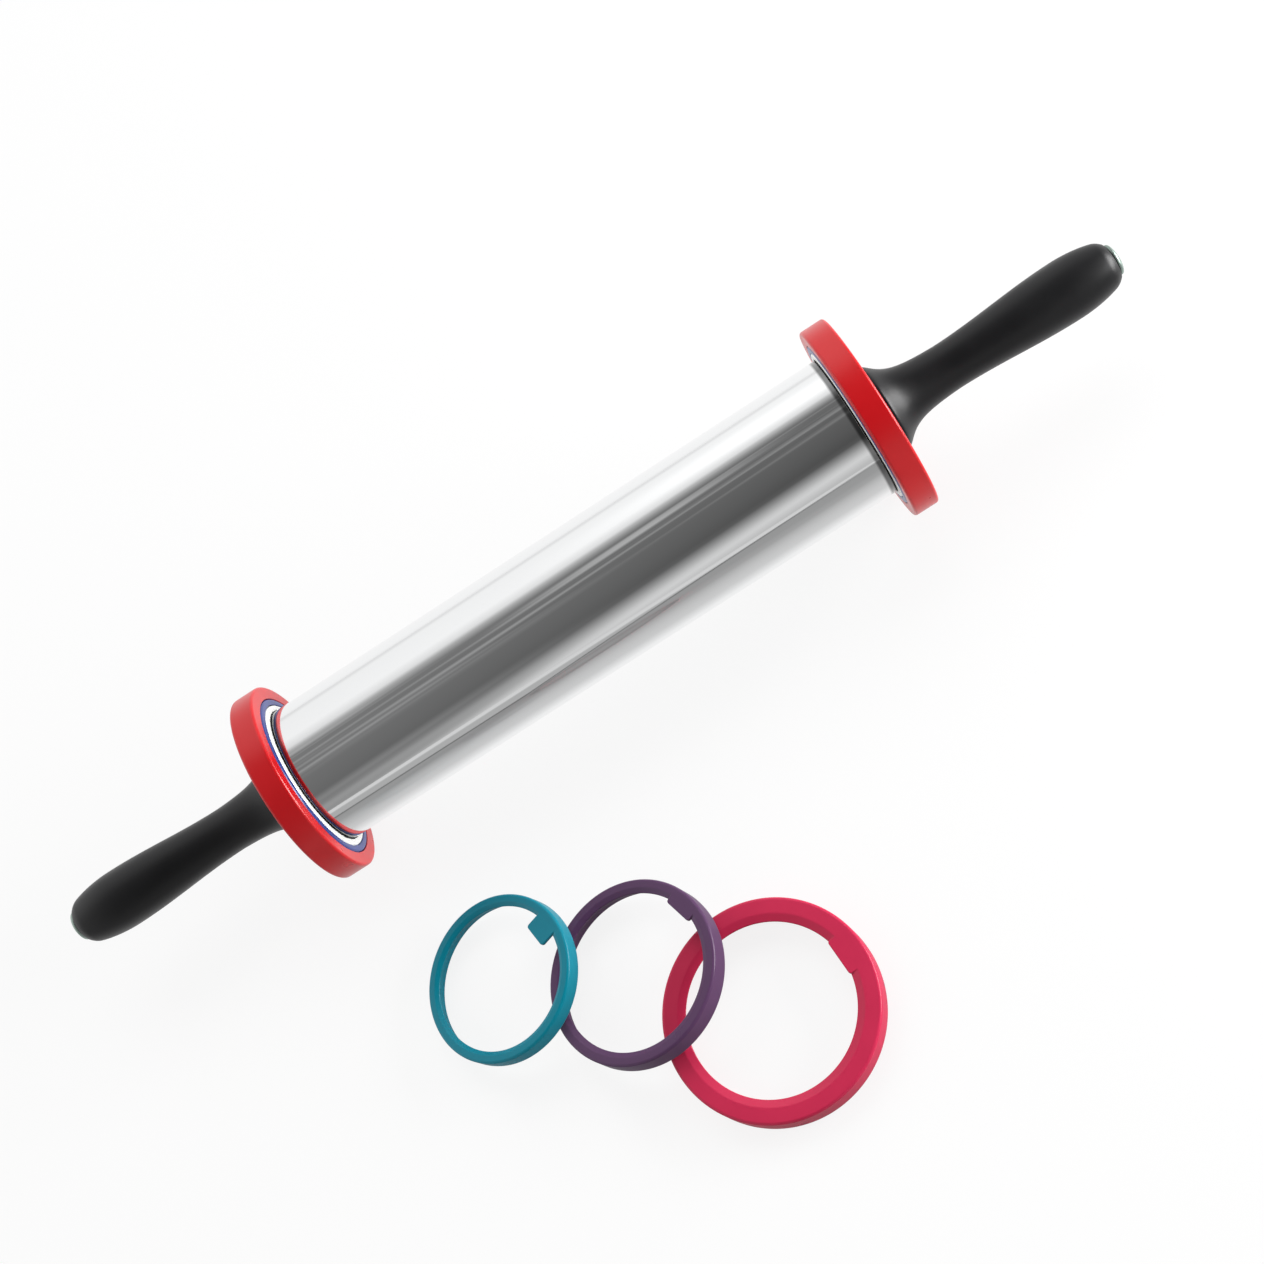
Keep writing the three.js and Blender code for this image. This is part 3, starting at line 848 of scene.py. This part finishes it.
def ring_mesh(context, kind):
    """A thickness ring with its inner face at X = 0 and its tab pointing to the axis from +Z."""
    sizes = context.scene.pin_ring
    row = RING_KINDS.index(kind)
    start, end, outer = span(f"ring_{kind}_right")
    width = end - start
    inside = "end_plug_right" if row == 0 else f"ring_{RING_KINDS[row - 1]}_right"
    bore = span(inside)[2] + sizes.gap
    lip = bore - sizes.lips[row]
    seat_end = width - sizes.lip_thickness
    points = [
        (0.0, bore, sizes.soft_edge),
        (0.0, outer, sizes.edge),
        (width, outer, sizes.edge),
        (width, lip + sizes.bevels[row], sizes.soft_edge),
        (width - sizes.bevel_drop, lip, sizes.soft_edge),
        (seat_end, lip, sizes.soft_edge / 2),
        (seat_end, bore, 0),
    ]
    ring = turned(points, RING_STEPS)
    low = lip - sizes.tab_reaches[row]
    high = outer - 2 * sizes.edge
    plate = tab_mesh(sizes, sizes.tab_widths[row], low, high)
    move(plate, (seat_end + sizes.lip_thickness / 2 - TINY, 0, 0))
    return combined(ring, plate, "UNION")


def tab_mesh(sizes, width, low, high):
    """A finger tab: a thin plate across X, with rounded corners at its low end."""
    plate = block((sizes.lip_thickness, width, high - low), (0, 0, (high + low) / 2))
    bevel = {"affect": "EDGES", **BEVEL}
    ends = [
        edge
        for edge in plate.edges
        if all(vert.co.z < low + TINY for vert in edge.verts)
        and abs(edge.verts[0].co.x - edge.verts[1].co.x) > TINY
    ]
    steps = 2 * CORNER_STEPS
    bmesh.ops.bevel(plate, geom=ends, offset=sizes.tab_corner, segments=steps, **bevel)
    rims = [
        edge
        for edge in plate.edges
        if abs(edge.verts[0].co.x - edge.verts[1].co.x) < TINY
        and any(vert.co.z < high - TINY for vert in edge.verts)
    ]
    bmesh.ops.bevel(plate, geom=rims, offset=sizes.tab_edge, segments=CORNER_STEPS, **bevel)
    return plate


class ROLLINGPIN_OT_rings(PinOperator, bpy.types.Operator):
    """Adds the three nested rings at each end of the pin"""

    bl_idname = "rolling_pin.rings"
    bl_label = "Add Rings on the Pin"

    def execute(self, context):
        for side in SIDES:
            for kind in RING_KINDS:
                ring = ring_mesh(context, kind)
                move(ring, (span(f"ring_{kind}_right")[0], 0, 0))
                place_at_end(ring, side)
                self.add(ring, f"ring_{kind}_{side}", f"{kind}_ring_{side}", RING_SLOTS[kind])
        return {"FINISHED"}


# Which points of a lying ring's node belong to a face, and to its tab's end: how far they may be
# from the outermost point, and how much farther from the middle than the nearest point
FACE_DEPTH = 0.05 * MM
TAB_DEPTH = 0.5 * MM


def lying_place(node):
    """The matrix that lays a ring, made about the X axis, where a spare ring's node lies."""
    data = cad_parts[node].data
    areas = Counter()
    for face in data.polygons:
        areas[tuple(round(part, 3) for part in face.normal)] += face.area
    up = Vector(max(areas, key=areas.get)).normalized()
    up *= math.copysign(1.0, up.z)
    points = {tuple(round(part, 6) for part in vert.co): vert.co for vert in data.vertices}.values()
    heights = [point.dot(up) for point in points]
    low, high = min(heights), max(heights)
    under = [point for point in points if point.dot(up) < low + FACE_DEPTH]
    centre = sum(under, Vector()) / len(under)
    above = [
        point - centre - up * (high - low) for point in points if point.dot(up) > high - FACE_DEPTH
    ]
    nearest = min(offset.length for offset in above)
    tab = sum((offset for offset in above if offset.length < nearest + TAB_DEPTH), Vector())
    tab = (tab - up * tab.dot(up)).normalized()
    across = tab.cross(up)
    return Matrix.Translation(centre) @ Matrix((up, across, tab)).transposed().to_4x4()


class ROLLINGPIN_OT_spares(PinOperator, bpy.types.Operator):
    """Adds the three spare rings that lie in front of the pin"""

    bl_idname = "rolling_pin.spares"
    bl_label = "Add Spare Rings"

    def execute(self, context):
        for kind in RING_KINDS:
            node = f"loose_ring_{kind}"
            ring = ring_mesh(context, kind)
            bmesh.ops.transform(ring, matrix=lying_place(node), verts=ring.verts[:])
            piece = self.add(ring, node, f"spare_{kind}", SPARE_SLOTS[kind])
            piece.visible_glossy = False
        return {"FINISHED"}


# Studio


def camera_matrix(settings):
    """The camera's place and turn, from its place round the pin's axis."""
    lift = Matrix.Rotation(-settings.elevation, 4, "X")
    aim = (
        Matrix.Rotation(settings.yaw, 4, "Z")
        @ Matrix.Rotation(settings.pitch, 4, "X")
        @ Matrix.Rotation(settings.roll, 4, "Y")
    )
    to_lens = Matrix.Rotation(math.pi / 2, 4, "X")
    stand = lift @ Vector((settings.foot, -settings.distance, 0))
    return Matrix.Translation(pin_axis() + stand) @ lift @ aim @ to_lens


# Brightness of the surroundings round the pin, from the front horizon over the top to the back one
SKY_SHARES = (
    (0.00, 0.50),
    (0.065, 0.64),
    (0.09, 0.58),
    (0.155, 0.29),
    (0.205, 0.10),
    (0.24, 0.085),
    (0.32, 0.103),
    (0.61, 0.15),
    (0.66, 0.40),
    (0.69, 0.76),
    (0.76, 0.95),
    (0.95, 0.92),
    (0.985, 0.75),
    (1.00, 0.85),
)

# Patches of added or taken light: the broad streak in the dark band, the whitest part above it,
# and a darker and a paler patch in front of the pin's left end. Each has its place across and
# along the bands, its reach both ways, and its strength.
GLEAMS = (
    ((0.578, -0.065), (0.035, 0.11), 0.26),
    ((0.81, 0.05), (0.12, 0.2), 0.18),
    ((0.095, -0.27), (0.07, 0.2), -0.24),
    ((0.225, -0.27), (0.05, 0.2), 0.09),
)

# Fine streaks in the dark band: how dense they are across and along the bands, and where across
# the bands they grow and fade
STREAK_DENSITY = (28.0, 3.0)
STREAKS_GROW = (0.41, 0.48)
STREAKS_FADE = (0.63, 0.68)

# Where along the pin the left end's glow fades and the right end's shade grows, and the least
# light of all
LEFT_GLOW_FADES = (-0.8, -0.35)
RIGHT_SHADE_GROWS = (0.25, 0.5)
LEAST_LIGHT = 0.04

# Painted reflection: brightness that the floor shows only in polished metal, from under the
# pin's axis to the reach in front of it
PAINTED_REFLECTION_SHARES = ((0.08, 1.00), (0.14, 0.66), (0.20, 0.55), (0.33, 0.30), (0.50, 0.24), (1.00, 0.24))
PAINTED_REFLECTION_REACH = 0.4

# The front edge of the painted bright patch that polished metal sees on the floor: its least
# distance, its distance beside the pin's middle, and how fast that grows to the right
PAINTED_REFLECTION_EDGE = (0.2, 0.33, 2.0)

# Changes in the painted reflection's brightness: (start, end, brightness at the start, at the
# end). The first two go by how far a place is past the patch's edge, as a difference of
# 1 / distance, and the last goes by 1 / distance.
PAST_REFLECTION_EDGE = (-0.25, 0.0, 1.0, 0.36)
FAR_PAINTED_REFLECTION = (0.37, 0.6, 0.0, 0.4)
FARTHEST_PAINTED_REFLECTION = (1.2, 2.2, 0.33, 0.0)

FLOOR_RADIUS = 20.0
FLOOR_STEPS = 64

# The lamps' places and sizes
SOFTBOX = ((0.3, 0.9, 1.1), (1.6, 0.9))
SIDE_LAMP = ((1.2, -0.1, 0.28), (0.8, 0.5))


def brightness(tree, value, shares):
    """Brightness that goes through (place, brightness) pairs as a value grows."""
    node = add_node(tree, "ValToRGB", {"Fac": value})
    stops = node.color_ramp.elements
    for _ in shares[2:]:
        stops.new(1.0)
    for stop, (place, light) in zip(stops, shares):
        stop.position = place
        stop.color = (light, light, light, 1.0)
    return node.outputs["Color"]


def mixed(tree, share, first, second):
    """A mix of two shaders that has a share of the second."""
    return add_node(tree, "MixShader", {"Fac": share, 1: first, 2: second}).outputs["Shader"]


def make_world(settings):
    """Surroundings in bands of brightness round the pin's axis, and white to the camera."""
    world = bpy.data.worlds.new("studio")
    world.use_nodes = True
    tree = world.node_tree
    tree.nodes.clear()
    along, back, up = split_place(tree, "Generated")
    angle = calculate(tree, "ARCTAN2", up, calculate(tree, "MULTIPLY", back, -1.0))
    share = calculate(tree, "DIVIDE", angle, math.pi)
    askew = calculate(tree, "MULTIPLY", along, calculate(tree, "SUBTRACT", 1.0, share))
    band = calculate(tree, "SUBTRACT", share, calculate(tree, "MULTIPLY", askew, settings.slant))
    bands = brightness(tree, band, SKY_SHARES)
    rise = calculate(tree, "MULTIPLY_ADD", along, settings.side_rise, 1.0)
    light = calculate(tree, "MULTIPLY", bands, rise)
    light = calculate(tree, "MULTIPLY_ADD", along, -settings.left_haze, light)
    extras = [gleam(tree, band, along, *each) for each in GLEAMS]
    extras.append(streaks(tree, band, along, settings.streaks))
    extras.append(between(tree, along, *LEFT_GLOW_FADES, settings.left_glow, 0.0))
    for extra in extras:
        light = calculate(tree, "ADD", light, extra)
    shade = between(tree, along, *RIGHT_SHADE_GROWS, 1.0, settings.right_shade)
    light = calculate(tree, "MULTIPLY", light, shade)
    light = calculate(tree, "MAXIMUM", light, LEAST_LIGHT)
    sky = add_node(tree, "Background", {"Color": light, "Strength": settings.world})
    white = add_node(tree, "Background", {"Color": (1.0, 1.0, 1.0, 1.0)})
    camera = add_node(tree, "LightPath").outputs["Is Camera Ray"]
    mix = mixed(tree, camera, sky.outputs["Background"], white.outputs["Background"])
    add_node(tree, "OutputWorld", {"Surface": mix})
    bpy.context.scene.world = world


def streaks(tree, band, along, strength):
    """Soft lines of light along the pin, in the upper part of the dark band."""
    across, lengthwise = STREAK_DENSITY
    grid = {
        "X": calculate(tree, "MULTIPLY", band, across),
        "Y": calculate(tree, "MULTIPLY", along, lengthwise),
    }
    place = add_node(tree, "CombineXYZ", grid).outputs["Vector"]
    sockets = {"Vector": place, "Scale": 1.0, "Detail": 1.0}
    noise = add_node(tree, "TexNoise", sockets, noise_dimensions="2D")
    lines = calculate(tree, "SUBTRACT", noise.outputs["Fac"], NOISE_MIDDLE)
    lines = calculate(tree, "MAXIMUM", lines, 0.0)
    growth = between(tree, band, *STREAKS_GROW, 0.0, strength)
    fading = between(tree, band, *STREAKS_FADE, 1.0, 0.0)
    return calculate(tree, "MULTIPLY", lines, calculate(tree, "MULTIPLY", growth, fading))


def patch(tree, value, middle, reach):
    """1 where a value is at its middle, falling to 0 at a reach to both sides."""
    away = calculate(tree, "ABSOLUTE", calculate(tree, "SUBTRACT", value, middle))
    return between(tree, away, 0.0, reach, 1.0, 0.0)


def gleam(tree, band, along, place, reach, strength):
    """A soft patch of light, with its place and reach across and along the bands."""
    across = patch(tree, band, place[0], reach[0])
    shape = calculate(tree, "MULTIPLY", across, patch(tree, along, place[1], reach[1]))
    return calculate(tree, "MULTIPLY", shape, strength)


def floor_material(colour, glow_share):
    """A pale floor, plain white to the camera, that shows polished metal a painted reflection."""
    material, tree, shader = new_material("pale_floor", colour, Roughness=0.7)
    along, back, _ = split_place(tree, "Object")
    # Painted reflection: what glossy rays see of the floor is a brightness set by the place on it,
    # bright near the pin and darker farther in front
    ahead = calculate(tree, "SUBTRACT", pin_axis().y, back)
    near = brightness(tree, calculate(tree, "DIVIDE", ahead, PAINTED_REFLECTION_REACH), PAINTED_REFLECTION_SHARES)
    nearest, middle, slope = PAINTED_REFLECTION_EDGE
    slanted = calculate(tree, "MULTIPLY_ADD", along, slope, middle)
    edge = calculate(tree, "MAXIMUM", nearest, slanted)
    nearness = calculate(tree, "DIVIDE", 1.0, calculate(tree, "MAXIMUM", ahead, MM))
    past_edge = calculate(tree, "SUBTRACT", calculate(tree, "DIVIDE", 1.0, edge), nearness)
    near = calculate(tree, "MULTIPLY", near, between(tree, past_edge, *PAST_REFLECTION_EDGE))
    far = between(tree, past_edge, *FAR_PAINTED_REFLECTION)
    far = calculate(tree, "ADD", far, between(tree, nearness, *FARTHEST_PAINTED_REFLECTION))
    path = add_node(tree, "LightPath")
    camera, glossy = path.outputs["Is Camera Ray"], path.outputs["Is Glossy Ray"]
    light = calculate(tree, "MAXIMUM", calculate(tree, "MAXIMUM", near, far), camera)
    glow = add_node(tree, "Emission", {"Color": light})
    share = calculate(tree, "MULTIPLY", calculate(tree, "MAXIMUM", camera, glossy), glow_share)
    mix = mixed(tree, share, shader.outputs["BSDF"], glow.outputs["Emission"])
    tree.links.new(mix, tree.nodes["Material Output"].inputs["Surface"])
    return material


class ROLLINGPIN_OT_stage(bpy.types.Operator):
    """Adds the floor, the surroundings, the lamps and the camera"""

    bl_idname = "rolling_pin.stage"
    bl_label = "Add Studio"

    def execute(self, context):
        settings = context.scene.pin_studio
        self.add_floor(context)
        make_world(settings)
        softbox = self.add_lamp("softbox", *SOFTBOX, settings.key_power)
        softbox.visible_glossy = False
        self.add_lamp("side_lamp", *SIDE_LAMP, settings.side_power)
        self.add_camera(context, settings)
        context.scene.view_settings.view_transform = "Standard"
        return {"FINISHED"}

    def add_floor(self, context):
        scene = context.scene
        mesh = bmesh.new()
        bmesh.ops.create_circle(mesh, cap_ends=True, segments=FLOOR_STEPS, radius=FLOOR_RADIUS)
        floor = mesh_object("floor", mesh)
        material = floor_material(scene.pin_colours.floor, scene.pin_studio.floor_glow)
        floor.data.materials.append(material)

    def add_lamp(self, name, place, size, power):
        light = bpy.data.lights.new(name, "AREA")
        light.shape = "RECTANGLE"
        light.size, light.size_y = size
        light.energy = power
        lamp = new_object(name, light)
        lamp.location = place
        lamp.rotation_euler = (-Vector(place)).to_track_quat("-Z", "Y").to_euler()
        return lamp

    def add_camera(self, context, settings):
        data = bpy.data.cameras.new("camera")
        data.lens = data.sensor_width / 2 / math.tan(settings.view_angle / 2)
        camera = new_object("camera", data)
        camera.matrix_world = camera_matrix(settings)
        context.scene.camera = camera


OPERATORS = (
    ROLLINGPIN_OT_finishes,
    ROLLINGPIN_OT_barrel,
    ROLLINGPIN_OT_plugs,
    ROLLINGPIN_OT_bearings,
    ROLLINGPIN_OT_axle,
    ROLLINGPIN_OT_handles,
    ROLLINGPIN_OT_rings,
    ROLLINGPIN_OT_spares,
    ROLLINGPIN_OT_stage,
)


class ROLLINGPIN_PT_sidebar(bpy.types.Panel):
    """The rolling pin's sizes, colours and operators."""

    bl_label = "Rolling Pin"
    bl_idname = "ROLLINGPIN_PT_sidebar"
    bl_space_type = "VIEW_3D"
    bl_region_type = "UI"
    bl_category = "Rolling Pin"

    def draw(self, context):
        for operator in OPERATORS:
            self.layout.operator(operator.bl_idname)
        for key, group in GROUPS.items():
            box = self.layout.box()
            for prop in group.__annotations__:
                box.prop(getattr(context.scene, key), prop)


CLASSES = (*GROUPS.values(), *OPERATORS, ROLLINGPIN_PT_sidebar)


def register():
    """Registers the classes and puts the sizes and colours on the scene."""
    for each in CLASSES:
        bpy.utils.register_class(each)
    for key, group in GROUPS.items():
        setattr(bpy.types.Scene, key, PointerProperty(type=group))


def unregister():
    """Takes everything back that register() added."""
    for key in GROUPS:
        delattr(bpy.types.Scene, key)
    for each in reversed(CLASSES):
        bpy.utils.unregister_class(each)


def main():
    """Adds every piece and the studio."""
    register()
    for operator in OPERATORS:
        category, name = operator.bl_idname.split(".")
        getattr(getattr(bpy.ops, category), name)()


if __name__ == "__main__":
    main()
